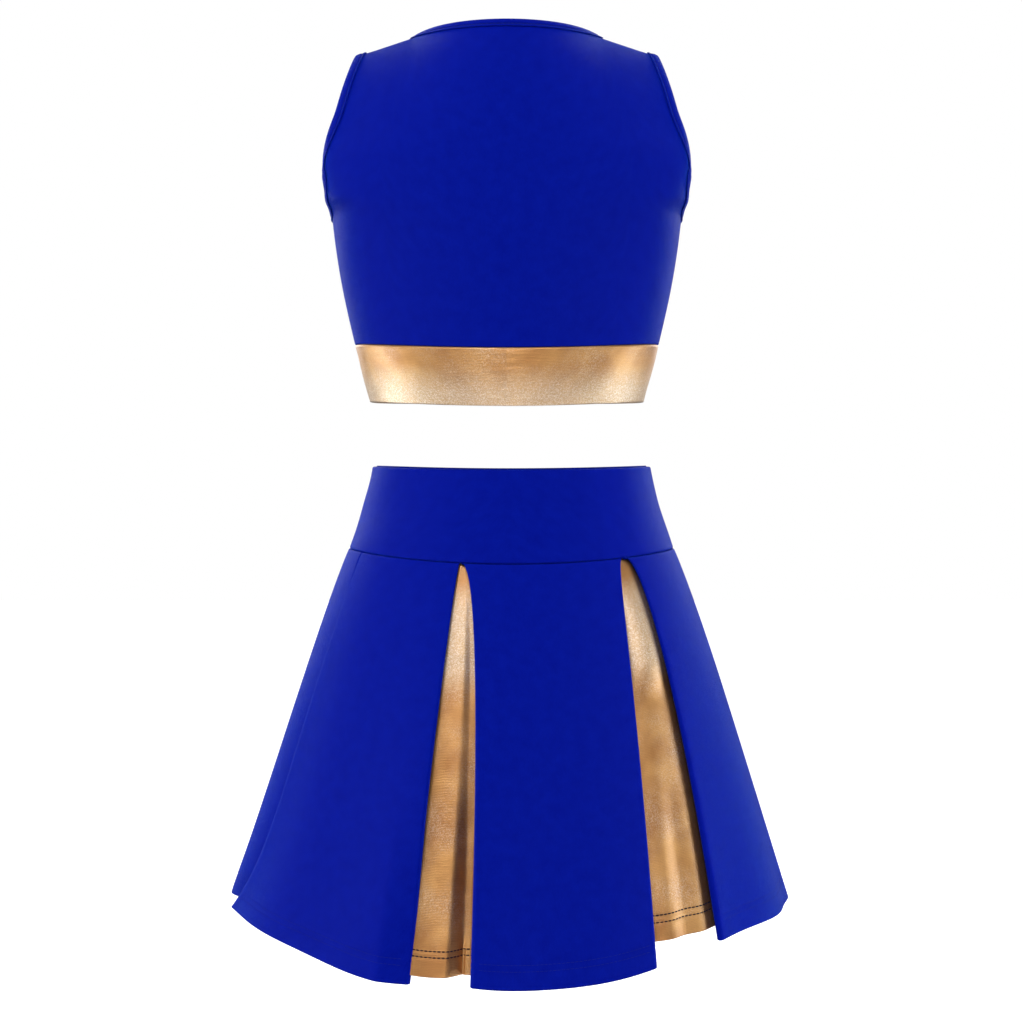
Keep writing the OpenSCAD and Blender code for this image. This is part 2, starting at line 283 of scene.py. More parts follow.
def ramp(x, start, run):
    """Rises smoothly from 0 at start to 1 when x has gone on by run."""
    return smooth((x - start) / run)


def sin_d(angle):
    return np.sin(np.radians(angle))


def cos_d(angle):
    return np.cos(np.radians(angle))


def bell(x, width):
    return np.exp(-((x / width) ** 2))


def unit(v):
    return v / np.maximum(np.linalg.norm(v, axis=-1, keepdims=True), 1e-12)


def points(x, y, z):
    """An array of points from three arrays that broadcast together."""
    x, y, z = np.broadcast_arrays(x, y, z)
    return np.stack([x, y, z], axis=-1)


def curve(stations, values, x):
    """Smooth curve through the values at rising stations."""
    slopes = np.empty_like(values)
    slopes[1:-1] = (values[2:] - values[:-2]) / (stations[2:] - stations[:-2])
    slopes[0] = (values[1] - values[0]) / (stations[1] - stations[0])
    slopes[-1] = (values[-1] - values[-2]) / (stations[-1] - stations[-2])
    i = np.clip(np.searchsorted(stations, x, side="right") - 1, 0, len(stations) - 2)
    h = stations[i + 1] - stations[i]
    f = np.clip((x - stations[i]) / h, 0, 1)
    back = 1 - f
    return (values[i] * (1 + 2 * f) * back ** 2 + slopes[i] * h * f * back ** 2
            + values[i + 1] * f ** 2 * (3 - 2 * f) - slopes[i + 1] * h * f ** 2 * back)


def marks(length, step, fine_start=(), fine_end=()):
    """Distances from 0 to length, with extra ones at both ends."""
    count = max(2, int(round(length / step)))
    plain = np.linspace(0, length, count + 1)
    inner_low = max(fine_start, default=0)
    inner_high = length - max(fine_end, default=0)
    plain = plain[(plain > inner_low) & (plain < inner_high)]
    ends = [0, *fine_start], [length - d for d in fine_end] + [length]
    return np.unique(np.concatenate([ends[0], plain, ends[1]]))


# ---- cloth made from grids of points ----
# A grid's rows run downwards and its columns run anticlockwise from above.

def normals_of(grid, closed):
    """Outward normals of a grid, from its neighbouring points."""
    if closed:
        across = np.roll(grid, -1, axis=1) - np.roll(grid, 1, axis=1)
    else:
        across = np.gradient(grid, axis=1)
    down = np.gradient(grid, axis=0)
    return unit(np.cross(down, across))


def run_down(grid):
    """Distance of each point from its column's top."""
    steps = np.linalg.norm(np.diff(grid, axis=0), axis=-1)
    return np.concatenate([np.zeros((1, grid.shape[1])), np.cumsum(steps, axis=0)])


def run_across(grid):
    """Distance of each point from its row's start."""
    steps = np.linalg.norm(np.diff(grid, axis=1), axis=-1)
    return np.concatenate([np.zeros((grid.shape[0], 1)), np.cumsum(steps, axis=1)], axis=1)


def rolled(distance, radius):
    """How far a rounded edge turns in at a distance from the edge."""
    reach = np.clip(radius - distance, 0, radius)
    return radius - np.sqrt(radius ** 2 - reach ** 2)


def with_hem(grid, closed, allowance, fold_r=HEM_FOLD_R):
    """The grid with its lower edge folded up inside, as a hem."""
    out = normals_of(grid, closed)
    down = unit(grid[-1] - grid[-2])
    turns = np.linspace(0, 180, 9)[1:]
    fold = [grid[-1] - out[-1] * fold_r * (1 - cos_d(t)) + down * fold_r * sin_d(t) for t in turns]
    above_edge = run_down(grid)[-1].max() - run_down(grid).max(axis=1)
    rows = [i for i in range(len(grid) - 2, -1, -1) if above_edge[i] < allowance]
    inside = [grid[i] - out[i] * 2 * fold_r for i in rows]
    return np.concatenate([grid, np.array(fold), np.array(inside)])


def cloth_mesh(name, grid, thickness, closed=False):
    """A closed mesh between the grid and the same grid moved inwards.

    Its UV map named cloth holds the place on the cloth in metres.
    """
    rows, columns = grid.shape[:2]
    inner = grid - normals_of(grid, closed) * thickness
    ring = np.concatenate([grid, grid[:, :1]], axis=1) if closed else grid
    spread = run_across(ring)
    along = spread - spread[:, spread.shape[1] // 2][:, None]
    drop = run_down(ring)
    strips = columns if closed else columns - 1
    total = rows * columns

    i, j = np.meshgrid(np.arange(rows - 1), np.arange(strips), indexing="ij")
    i, j = i.ravel(), j.ravel()
    corners = [(i, j), (i, j + 1), (i + 1, j + 1), (i + 1, j)]
    outside = np.stack([r * columns + c % columns for r, c in corners], axis=1)
    outside_uv = np.stack([np.stack([along[r, c], drop[r, c]], -1) for r, c in corners], axis=1)
    inside, inside_uv = outside[:, ::-1] + total, outside_uv[:, ::-1]

    def rim(first, second, first_uv, second_uv):
        faces = np.stack([first, first + total, second + total, second], axis=1)
        return faces, np.stack([first_uv, first_uv, second_uv, second_uv], axis=1)

    k = np.arange(strips)
    top, low = 0 * k, 0 * k + rows - 1

    def place(r, c):
        return r * columns + c % columns, np.stack([along[r, c], drop[r, c]], -1)

    rims = []
    for r, flip in ((top, False), (low, True)):
        a, b = place(r, k), place(r, k + 1)
        a, b = (b, a) if flip else (a, b)
        rims.append(rim(a[0], b[0], a[1], b[1]))
    if not closed:
        k = np.arange(rows - 1)
        for c, flip in ((0 * k, True), (0 * k + columns - 1, False)):
            a, b = place(k, c), place(k + 1, c)
            a, b = (b, a) if flip else (a, b)
            rims.append(rim(a[0], b[0], a[1], b[1]))
    faces = np.concatenate([outside, inside] + [r[0] for r in rims])
    uvs = np.concatenate([outside_uv, inside_uv] + [r[1] for r in rims])
    vertices = np.concatenate([grid.reshape(-1, 3), inner.reshape(-1, 3)])
    return mesh_object(name, vertices, faces, uvs)


def mesh_object(name, vertices, faces, uvs):
    mesh = bpy.data.meshes.new(name)
    mesh.from_pydata(vertices.tolist(), [], faces.tolist())
    layer = mesh.uv_layers.new(name="cloth")
    layer.data.foreach_set("uv", uvs.astype(np.float32).ravel())
    mesh.shade_smooth()
    mesh.update()
    obj = bpy.data.objects.new(name, mesh)
    bpy.context.scene.collection.objects.link(obj)
    return obj


def finish_cloth(obj, body, node, material):
    """Gives a cloth piece its material and its body, and hides the imported part that it stands
    for.
    """
    obj.data.materials.append(material)
    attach(obj, body)
    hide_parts(node)
    return obj


# ---- stitches ----

def along_path(path, pitch, closed=False):
    """Evenly spaced places on a path, as positions along its points."""
    ring = np.concatenate([path, path[:1]]) if closed else path
    run = np.concatenate([[0], np.cumsum(np.linalg.norm(np.diff(ring, axis=0), axis=1))])
    count = max(1, int(run[-1] / pitch))
    wanted = (np.arange(count) + 0.5) * run[-1] / count
    return np.interp(wanted, run, np.arange(len(ring)))


def at_place(values, places):
    """Values at positions between a path's points."""
    ring = np.concatenate([values, values[:1]])
    i = np.floor(places).astype(int)
    f = (places - i)[:, None]
    return ring[i] * (1 - f) + ring[i + 1] * f


def stitch_shapes(path, out, radius, pitch=STITCH_PITCH, length=STITCH_LENGTH, closed=False):
    """Vertices and faces of a row of stitches lying on a path."""
    places = along_path(path, pitch, closed)
    centre = at_place(path, places)
    lift = unit(at_place(out, places))
    ahead = at_place(path, np.minimum(places + 0.4, len(path) - 1.001 + closed))
    behind = at_place(path, np.maximum(places - 0.4, 0))
    along = unit(ahead - behind)
    side = np.cross(along, lift)
    vertices = []
    for t in (-1, -0.8, -0.35, 0.35, 0.8, 1):
        girth = radius * math.sqrt(max(1 - abs(t) ** 2.5, 0.02))
        middle = centre + along * (t * length / 2) + lift * radius * (0.55 - 0.7 * t * t)
        for s in range(STITCH_SIDES):
            turn = 2 * math.pi * s / STITCH_SIDES
            vertices.append(middle + side * girth * math.cos(turn) + lift * girth * math.sin(turn))
    vertices = np.array(vertices).transpose(1, 0, 2)
    rings = vertices.shape[1] // STITCH_SIDES
    faces = []
    for r in range(rings - 1):
        for s in range(STITCH_SIDES):
            a, b = r * STITCH_SIDES + s, r * STITCH_SIDES + (s + 1) % STITCH_SIDES
            faces.append([a, b, b + STITCH_SIDES, a + STITCH_SIDES])
    per_stitch = vertices.shape[1]
    faces = np.array(faces)[None] + np.arange(len(vertices))[:, None, None] * per_stitch
    return vertices.reshape(-1, 3), faces.reshape(-1, 4)


def stitching(name, rows, body, material):
    """One piece made of several rows of stitches."""
    vertices, faces, start = [], [], 0
    for row in rows:
        v, f = stitch_shapes(**row)
        vertices.append(v)
        faces.append(f + start)
        start += len(v)
    faces = np.concatenate(faces)
    obj = mesh_object(name, np.concatenate(vertices), faces, np.zeros((len(faces), 4, 2)))
    obj.data.materials.append(material)
    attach(obj, body)
    return obj


# ---- materials ----

class Shader:
    """Builds one material's nodes, a node to each call."""

    def __init__(self, name):
        self.material = bpy.data.materials.new(name)
        self.material.use_nodes = True
        self.tree = self.material.node_tree
        self.tree.nodes.clear()
        self.output = self.tree.nodes.new("ShaderNodeOutputMaterial")
        self.surface = self.tree.nodes.new("ShaderNodeBsdfPrincipled")
        self.join(self.surface.outputs[0], self.output.inputs["Surface"])
        uv = self.tree.nodes.new("ShaderNodeUVMap")
        uv.uv_map = "cloth"
        self.uv = uv.outputs[0]

    def join(self, source, target):
        self.tree.links.new(source, target)

    def put(self, socket, value):
        if isinstance(value, bpy.types.NodeSocket):
            self.join(value, socket)
        else:
            socket.default_value = value

    def math(self, operation, *values):
        node = self.tree.nodes.new("ShaderNodeMath")
        node.operation = operation
        for socket, value in zip(node.inputs, values):
            self.put(socket, value)
        return node.outputs[0]

    def split(self, vector):
        node = self.tree.nodes.new("ShaderNodeSeparateXYZ")
        self.put(node.inputs[0], vector)
        return node.outputs[0], node.outputs[1]

    def place(self, scale=(1, 1, 1)):
        """Place on the cloth in metres, times a scale along and down it."""
        node = self.tree.nodes.new("ShaderNodeVectorMath")
        node.operation = "MULTIPLY"
        self.put(node.inputs[0], self.uv)
        node.inputs[1].default_value = scale
        return node.outputs[0]

    def noise(self, scale, detail=3.0, roughness=0.55, stretch=(1, 1, 1)):
        node = self.tree.nodes.new("ShaderNodeTexNoise")
        self.put(node.inputs["Vector"], self.place(stretch))
        node.inputs["Scale"].default_value = scale
        node.inputs["Detail"].default_value = detail
        node.inputs["Roughness"].default_value = roughness
        return node.outputs["Fac"]

    def flecks(self, scale):
        """Random value from 0 to 1 in each small cell of the cloth."""
        node = self.tree.nodes.new("ShaderNodeTexVoronoi")
        self.put(node.inputs["Vector"], self.place())
        node.inputs["Scale"].default_value = scale
        return self.split(node.outputs["Color"])[0]

    def remap(self, value, low, high, to_low=0.0, to_high=1.0):
        node = self.tree.nodes.new("ShaderNodeMapRange")
        for socket, item in zip(node.inputs, (value, low, high, to_low, to_high)):
            self.put(socket, item)
        return node.outputs[0]

    def mix(self, factor, first, second):
        node = self.tree.nodes.new("ShaderNodeMix")
        node.data_type = "RGBA"
        self.put(node.inputs[0], factor)
        self.put(node.inputs[6], (*first, 1) if isinstance(first, tuple) else first)
        self.put(node.inputs[7], (*second, 1) if isinstance(second, tuple) else second)
        return node.outputs[2]

    def bump(self, height, distance, strength=1.0, under=None):
        node = self.tree.nodes.new("ShaderNodeBump")
        node.inputs["Strength"].default_value = strength
        node.inputs["Distance"].default_value = distance
        self.put(node.inputs["Height"], height)
        if under is not None:
            self.put(node.inputs["Normal"], under)
        return node.outputs[0]

    def knit(self, wale, course):
        """Height of a plain knit's rows of small V stitches."""
        u, v = self.split(self.uv)
        across = self.math("FRACT", self.math("DIVIDE", u, wale))
        arm = self.math("ABSOLUTE", self.math("SUBTRACT", across, 0.5))
        climb = self.math("ADD", self.math("DIVIDE", v, course), self.math("MULTIPLY", arm, 1.3))
        loop = self.math("SINE", self.math("MULTIPLY", self.math("FRACT", climb), math.pi))
        gutter = self.math("SINE", self.math("MULTIPLY", arm, 2 * math.pi))
        return self.math("MULTIPLY", loop, self.math("ABSOLUTE", gutter))

    def set(self, **values):
        for name, value in values.items():
            self.put(self.surface.inputs[name.replace("_", " ")], value)
        return self.material


def knit_material(name, deep, light, sheen, roughness):
    """Stretch knit: fine V stitches, a slight mottle and a soft sheen."""
    s = Shader(name)
    stitch = s.knit(wale=0.55 * MM, course=0.45 * MM)
    mottle = s.noise(95, detail=4)
    slub = s.noise(700, detail=2, stretch=(1, 0.35, 1))
    blend = s.math("ADD", s.math("MULTIPLY", mottle, 0.6), s.math("MULTIPLY", slub, 0.4))
    colour = s.mix(s.remap(blend, 0.3, 0.7), deep, light)
    shade = s.remap(stitch, 0, 1, 0.2, 0.0)
    colour = s.mix(shade, colour, (0.0, 0.0, 0.04))
    waves = s.bump(mottle, 0.5 * MM, 0.25)
    fine = s.bump(slub, 0.25 * MM, 0.35, under=waves)
    knitted = s.bump(stitch, 0.14 * MM, 0.7, under=fine)
    rough = s.remap(slub, 0.3, 0.7, roughness - 0.06, roughness + 0.06)
    s.surface.inputs["Sheen Weight"].default_value = sheen
    s.surface.inputs["Sheen Roughness"].default_value = 0.24
    s.surface.inputs["Sheen Tint"].default_value = (0.04, 0.20, 1.0, 1)
    s.surface.inputs["Specular IOR Level"].default_value = 0.10
    s.surface.inputs["Specular Tint"].default_value = (0.05, 0.16, 1.0, 1)
    return s.set(Base_Color=colour, Roughness=rough, Normal=knitted)


# Colours of the foil, and where its painted highlight (a paler zone) rises and
# falls, as distances down the cloth. The pale colour is the painted highlight,
# the spark colour is painted glints, and the groove colour is painted shade in
# the rib valleys.
FOIL_DEEP = (0.50, 0.220, 0.064)
FOIL_LIGHT = (0.74, 0.38, 0.125)
FOIL_GRIME = (0.30, 0.13, 0.045)
FOIL_PAINTED_HIGHLIGHT = (0.86, 0.69, 0.47)
FOIL_PAINTED_GLINT = (0.98, 0.86, 0.72)
FOIL_RIB_SHADE = (0.24, 0.11, 0.04)
HIGHLIGHT_RISE = (16 * MM, 40 * MM)
HIGHLIGHT_FALL = (88 * MM, 112 * MM)
RIB_PITCH = 1.25 * MM


def foil_material(name):
    """Metallic foil on a fine knit: ribs with painted shade in their valleys, grain
    with painted glints, a worn tone, and a painted highlight at a set distance
    down the cloth."""
    s = Shader(name)
    v = s.split(s.uv)[1]
    wobble = s.math("MULTIPLY", s.noise(140, detail=2), 1.3 * MM)
    ribs = s.math("SINE", s.math("MULTIPLY", s.math("ADD", v, wobble), 2 * math.pi / RIB_PITCH))
    stitch = s.knit(wale=0.7 * MM, course=0.6 * MM)
    tone = s.noise(26, detail=4)
    grain = s.noise(1500, detail=3)
    fleck = s.flecks(1900)
    # Painted highlight: a paler colour placed about 16 to 112 mm down each piece, which is the top
    # of each gold insert and the lower part of the gold band.
    rising = s.remap(v, *HIGHLIGHT_RISE)
    falling = s.remap(v, *HIGHLIGHT_FALL, 1, 0)
    pale = s.math("MULTIPLY", rising, falling)
    # Painted glints: near-white flecks in the colour, in random patches and most of all across the
    # painted highlight zone. The same mask also raises the flecks' bumps.
    patches = s.remap(s.noise(17, detail=2), 0.42, 0.66)
    sparkling = s.math("MAXIMUM", s.math("MULTIPLY", patches, 0.6), pale)
    painted_glints = s.math("MULTIPLY", s.remap(fleck, 0.45, 0.95), sparkling)
    colour = s.mix(s.remap(tone, 0.36, 0.64), FOIL_DEEP, FOIL_LIGHT)
    colour = s.mix(s.remap(grain, 0.35, 0.75, 0, 0.35), colour, FOIL_GRIME)
    colour = s.mix(s.math("MULTIPLY", pale, 0.42), colour, FOIL_PAINTED_HIGHLIGHT)
    colour = s.mix(s.math("MULTIPLY", painted_glints, 0.75), colour, FOIL_PAINTED_GLINT)
    # Painted shade: the colour darkens in the valleys between the ribs.
    colour = s.mix(s.remap(ribs, -1, -0.2, 0.16, 0.0), colour, FOIL_RIB_SHADE)
    rough = s.remap(grain, 0.3, 0.7, 0.36, 0.50)
    crumple = s.bump(s.noise(120, detail=3), 0.5 * MM, 0.35)
    grainy = s.bump(grain, 0.16 * MM, 0.5, under=crumple)
    flecked = s.bump(s.math("MULTIPLY", fleck, sparkling), 0.10 * MM, 0.7, under=grainy)
    ribbed = s.bump(ribs, 0.06 * MM, 0.6, under=flecked)
    knitted = s.bump(stitch, 0.05 * MM, 0.6, under=ribbed)
    s.surface.inputs["Metallic"].default_value = 0.94
    s.surface.inputs["Coat Weight"].default_value = 0.6
    s.surface.inputs["Coat Roughness"].default_value = 0.35
    return s.set(Base_Color=colour, Roughness=rough, Normal=knitted)


def thread_material(name, colour, roughness):
    """Twisted sewing thread."""
    s = Shader(name)
    fibre = s.tree.nodes.new("ShaderNodeTexNoise")
    coordinates = s.tree.nodes.new("ShaderNodeTexCoord")
    s.join(coordinates.outputs["Object"], fibre.inputs["Vector"])
    fibre.inputs["Scale"].default_value = 2600
    light = tuple(min(1.0, c * 1.8 + 0.01) for c in colour)
    s.surface.inputs["Specular IOR Level"].default_value = 0.12
    return s.set(
        Base_Color=s.mix(fibre.outputs["Fac"], colour, light),
        Roughness=s.remap(fibre.outputs["Fac"], 0.3, 0.7, roughness - 0.1, roughness + 0.1),
        Normal=s.bump(fibre.outputs["Fac"], 0.1 * MM, 0.5),
    )


def elastic_material(name):
    """Woven elastic: ribs along it, with painted shade greying the valleys and a random tone on
    top.
    """
    s = Shader(name)
    u, v = s.split(s.uv)
    ribs = s.math("SINE", s.math("MULTIPLY", v, 2 * math.pi / (1.6 * MM)))
    ticks = s.math("SINE", s.math("MULTIPLY", u, 2 * math.pi / (0.9 * MM)))
    weave = s.math("MULTIPLY", ribs, ticks)
    # The grey follows the rib valleys as painted shade, mixed with a random tone.
    tone = s.remap(s.math("ADD", ribs, s.noise(300)), -1, 2)
    return s.set(
        Base_Color=s.mix(tone, (0.55, 0.55, 0.53), (0.86, 0.86, 0.84)),
        Roughness=s.remap(weave, -1, 1, 0.6, 0.8),
        Normal=s.bump(weave, 0.2 * MM, 0.8, under=s.bump(ribs, 0.4 * MM, 0.8)),
    )


ROYAL = knit_material("royal_knit", (0.0010, 0.0065, 0.33), (0.0019, 0.0110, 0.42), 0.5, 0.55)
LINING = knit_material("lining_knit", (0.0030, 0.0100, 0.30), (0.0045, 0.0150, 0.37), 0.2, 0.75)
FOIL = foil_material("gold_foil_knit")
NAVY_THREAD = thread_material("navy_thread", (0.006, 0.005, 0.016), 0.6)
BLUE_THREAD = thread_material("blue_thread", (0.002, 0.007, 0.16), 0.6)
ELASTIC = elastic_material("waist_elastic")


# ---- waistband ----

def waist_z(angle):
    return -WAIST_DIP * cos_d(angle) ** 2


def seam_z(angle):
    return -(YOKE_H + SEAM_DIP * cos_d(angle) ** 2)


def waistband_point(angle, f, depth):
    spread = f ** YOKE_FLARE_POWER
    half_w = lerp(WAIST_HALF_W, HIP_HALF_W, spread) - depth
    half_d = lerp(WAIST_HALF_D, HIP_HALF_D, spread) - depth
    z = lerp(waist_z(angle), seam_z(angle), f)
    return points(half_w * sin_d(angle), -half_d * cos_d(angle), z)


EDGE_MARKS = tuple(SEAM_ROLL * f for f in (0.06, 0.18, 0.35, 0.6, 1.0, 1.7))


def waistband_grid(depth, from_d, to_d, roll_top, roll_low):
    """Rows of the waistband's shape, at a depth behind its face."""
    down = marks(to_d - from_d, GRID_STEP, EDGE_MARKS, EDGE_MARKS)
    f = (from_d + down)[:, None] / YOKE_H
    angle = np.arange(YOKE_COLUMNS) * 360 / YOKE_COLUMNS
    turn = YOKE_RIPPLES * np.radians(angle) + YOKE_RIPPLE_DRIFT * f
    ripple = YOKE_RIPPLE * np.sin(turn) * np.sin(math.pi * f)
    grid = waistband_point(angle, f, depth - ripple)
    turn_in = roll_top * rolled(down, SEAM_ROLL) + roll_low * rolled(down[-1] - down, SEAM_ROLL)
    return grid - normals_of(grid, True) * turn_in[:, None, None]


def make_waistband():
    layer = KNIT_T + LAYER_GAP
    face = waistband_grid(0, 0, YOKE_H, 1, 1)
    obj = cloth_mesh("waistband_cloth", face, KNIT_T, closed=True)
    finish_cloth(obj, "skirt", "waistband", ROYAL)
    elastic = waistband_grid(layer + ELASTIC_SPACE, ELASTIC_HIGH, ELASTIC_LOW, 0, 0)
    obj = cloth_mesh("waist_elastic_band", elastic, ELASTIC_T, closed=True)
    finish_cloth(obj, "skirt", "waist_elastic", ELASTIC)
    facing_d = 2 * SEAM_ROLL + layer + FACING_SPACE
    facing = waistband_grid(facing_d, FACING_HIGH, YOKE_H + FACING_PAST_SEAM, -1, 0)
    obj = cloth_mesh("waistband_facing_cloth", facing, KNIT_T, closed=True)
    finish_cloth(
        obj, "skirt", "waistband_facing", LINING
    )


# ---- skirt ----

def hem_z(angle):
    return -(HEM_DROP + HEM_DIP * abs(cos_d(angle + HEM_LEAN)) ** HEM_POWER)


def flare(start, end, f):
    return lerp(start, end, f) + FLARE_SWELL * np.sin(math.pi * f ** FLARE_POWER)


def skirt_point(angle, f, depth):
    half_w = flare(HIP_HALF_W, HEM_HALF_W, f) - depth
    half_d = flare(HIP_HALF_D, HEM_HALF_D, f) - depth
    z = lerp(seam_z(angle), hem_z(angle), f)
    return points(half_w * sin_d(angle), -half_d * cos_d(angle), z)


def degrees_of(length, angle, f):
    """Angle that a length along the skirt takes up at a given place."""
    half_w, half_d = flare(HIP_HALF_W, HEM_HALF_W, f), flare(HIP_HALF_D, HEM_HALF_D, f)
    return np.degrees(length / np.hypot(half_w * cos_d(angle), half_d * sin_d(angle)))


def fold_angle(k, side, f):
    """Folded edge of a pleat: side is -1 before its opening and 1 after it."""
    i, turn = k % PLEATS, 360 * (k // PLEATS)
    first = lerp(FOLD_SEAM_ANGLES[i], FOLD_HEM_ANGLES[i], f ** FOLD_POWERS[i]) + turn
    if side < 0:
        return first
    return first + degrees_of(lerp(CLOSED_GAP, PLEAT_GAPS[i], f ** GAP_POWERS[i]), first, f)


def wall_depth(k, side, f):
    """How far a pleat's side turns in."""
    deepest = PLEAT_WALLS[k % PLEATS][0 if side < 0 else 1]
    return lerp(CLOSED_DEPTH, deepest, f ** FOLD_GROWTH)


def fold_radius(f):
    return lerp(*FOLD_RADII, f ** FOLD_GROWTH)


def tucked_under(f):
    """How far a pleat's turned-in side reaches back under its panel."""
    return lerp(*TUCKS, np.sqrt(f))


def panel_columns():
    """Columns of a panel, from one turned-in side over the face to the other:
    how far across the face they lie, the angle of the rounded fold that they
    lie at, and how far down the turned-in side."""
    wall = np.linspace(1, 0, WALL_COLUMNS + 1)[:-1]
    arc = np.linspace(90, 0, ARC_COLUMNS)
    face = np.linspace(0, 1, FACE_COLUMNS + 2)[1:-1]
    across = np.concatenate([0 * wall, 0 * arc, face, 0 * arc + 1, 0 * wall + 1])
    bend = np.concatenate([0 * wall + 90, arc, 0 * face, arc[::-1], 0 * wall[::-1] + 90])
    down_wall = np.concatenate([wall, 0 * arc, 0 * face, 0 * arc, wall[::-1]])
    return across, bend, down_wall


def panel_drape(k, across, f):
    """How far a panel's cloth stands out from the plain flare."""
    count, start, height = PANEL_WAVES[k]
    wave = np.sin(2 * math.pi * (count * across + start + WAVE_LEAN * f)) * height * MM
    lift = lerp(*PANEL_LIFTS[k], across) * (2 * across - 1) ** 2
    return f ** WAVE_POWER * wave + f * lift


def turned_strip(k, across, f, width):
    """The left panel's edge bends back along a crease near the hem."""
    if k != PLEATS - 1:
        return 0 * across * f
    from_edge = (1 - across) * width
    bent = smooth((f - STRIP_START) / (1 - STRIP_START))
    return STRIP_TURN * bent * np.clip(1 - from_edge / STRIP_W, 0, 1)


def needle_dimples(f, depth):
    """Shallow furrows that the hem's two rows of stitching pull into a cloth."""
    above_hem = (1 - f) * SLANT
    return sum(bell(above_hem - row, FURROW_W) for row in NEEDLE_ROWS) * depth


def panel_grid(k):
    down = marks(SLANT, SLANT_STEP, EDGE_MARKS, HEM_MARKS)
    f = (down / SLANT)[:, None]
    across, bend, down_wall = panel_columns()
    radius, under = fold_radius(f), tucked_under(f)
    start, end = fold_angle(k, 1, f), fold_angle(k + 1, -1, f)
    plain = lerp(start, end, across)
    inset = (1 - 2 * across) * (radius * (1 - sin_d(bend)) + under * down_wall ** TUCK_POWER)
    angle = plain + degrees_of(inset, plain, f)
    walls = np.where(across < 0.5, wall_depth(k, 1, f), wall_depth(k + 1, -1, f))
    width = np.linalg.norm(skirt_point(end, f, 0) - skirt_point(start, f, 0), axis=-1)
    depth = radius * (1 - cos_d(bend)) + down_wall * (walls - radius)
    depth = depth + turned_strip(k, across, f, width)
    grid = skirt_point(angle, f, depth - panel_drape(k, across, f))
    sag = PANEL_SAGS[k] * 4 * across * (1 - across)
    grid[..., 2] -= f ** 2 * (lerp(*PANEL_DROPS[k], across ** DROP_POWER) + sag)
    turn_in = rolled(down, SEAM_ROLL)[:, None] + needle_dimples(f, KNIT_FURROW)
    return with_allowance(grid - normals_of(grid, False) * turn_in[..., None], angle[0])


def with_allowance(grid, angle):
    """The grid with its upper edge carried on up behind the waistband."""
    out = points(sin_d(angle), -cos_d(angle), 0 * angle)
    climb = ALLOWANCE_UP[:, None, None] * np.array([0, 0, 1])
    inwards = ALLOWANCE_IN[:, None, None] * out
    return np.concatenate([grid[0] + climb - inwards, grid])


def needle_rows(grid, margin, radius):
    """Two rows of stitches along a grid's hem, that many columns in from its edges."""
    out = normals_of(grid, False)
    run = run_down(grid)
    above = run[-1].mean() - run.mean(axis=1)
    rows = []
    for height in NEEDLE_ROWS:
        i = int(np.argmin(abs(above - height)))
        path, outwards = grid[i, margin:-margin], out[i, margin:-margin]
        rows.append({"path": path, "out": outwards, "radius": radius})
    return rows


def make_skirt_panels():
    for k, node in enumerate(SKIRT_PANELS):
        grid = panel_grid(k)
        whole = with_hem(grid, False, HEM_H)
        obj = cloth_mesh(node + "_cloth", whole, KNIT_T)
        finish_cloth(obj, "skirt", node, ROYAL)
        rows = needle_rows(grid, WALL_COLUMNS + ARC_COLUMNS, KNIT_STITCH_R)
        stitching(node + "_stitches", rows, "skirt", BLUE_THREAD)


def insert_folds(k, w, f):
    """How far an insert's own folds lie back. w runs from -1 to 1 between the
    pleat's folded edges, and f from 0 at the seam to 1 at the hem."""
    if k == 0:
        step = lerp(*STEP_DEPTHS, ramp(f, 0.45, 0.4)) * ramp(w, 0.1, 0.5) * ramp(f, 0, 0.3)
        return step + CREASE_D * bell(w - 0.58, 0.055) * ramp(f, 0.90, 0.06)
    if k == 1:
        bulge = -BULGE_H * ramp(f, 0, BULGE_END) * (1 - ramp(f, BULGE_END, 0.10)) * (1 - w * w)
        return bulge + HOLLOW_D * bell(w - 0.2, 0.38) * ramp(f, 0.5, 0.35)
    return WAVE_D * f * np.sin(3.4 * w + 1.3 * k) * (1 - w * w)


def insert_grid(k):
    down = marks(SLANT, SLANT_STEP, (), HEM_MARKS)
    f = (down / SLANT)[:, None]
    w = np.linspace(-1 - OVERLAP, 1 + OVERLAP, INSERT_COLUMNS)
    inside = np.clip(w, -1, 1)
    beyond = (w - inside) / OVERLAP
    u = (inside + 1) / 2
    middle = lerp(fold_angle(k, -1, f), fold_angle(k, 1, f), u)
    angle = middle + degrees_of(beyond * (tucked_under(f) + OVERLAP_REACH), middle, f)
    wall = lerp(wall_depth(k, -1, f), wall_depth(k, 1, f), u)
    swell = INSERT_SWELLS[k] * f * (1 - inside ** 2)
    folds = insert_folds(k, inside, f) * (1 - inside ** 8)
    edge_drape = lerp(
        panel_drape((k - 1) % PLEATS, np.array(1.0), f), panel_drape(k, np.array(0.0), f), u
    )
    depth = wall + INSERT_SPACE - swell + folds + OVERLAP_SINK * abs(beyond) - edge_drape
    grid = skirt_point(angle, f * (1 - lerp(*INSERT_RISES[k], u) / SLANT), depth)
    return grid - normals_of(grid, False) * needle_dimples(f, FOIL_FURROW)[..., None]


def make_gold_inserts():
    for k, node in enumerate(GOLD_INSERTS):
        grid = insert_grid(k)
        whole = with_hem(grid, False, HEM_H)
        obj = cloth_mesh(node + "_cloth", whole, FOIL_T)
        finish_cloth(
            obj, "skirt", node, FOIL
        )
        rows = needle_rows(grid, FOIL_STITCH_MARGIN, FOIL_STITCH_R)
        stitching(node + "_stitches", rows, "skirt", NAVY_THREAD)


# ---- top ----

def top_half_w(z):
    return curve(TOP_STATIONS, TOP_HALF_WIDTHS, z)


def armhole_opening(z):
    below = 1 - np.clip((z - UNDERARM_Z) / (CHEST_Z - UNDERARM_Z), 0, 1)
    return np.sqrt(1 - below ** 2)


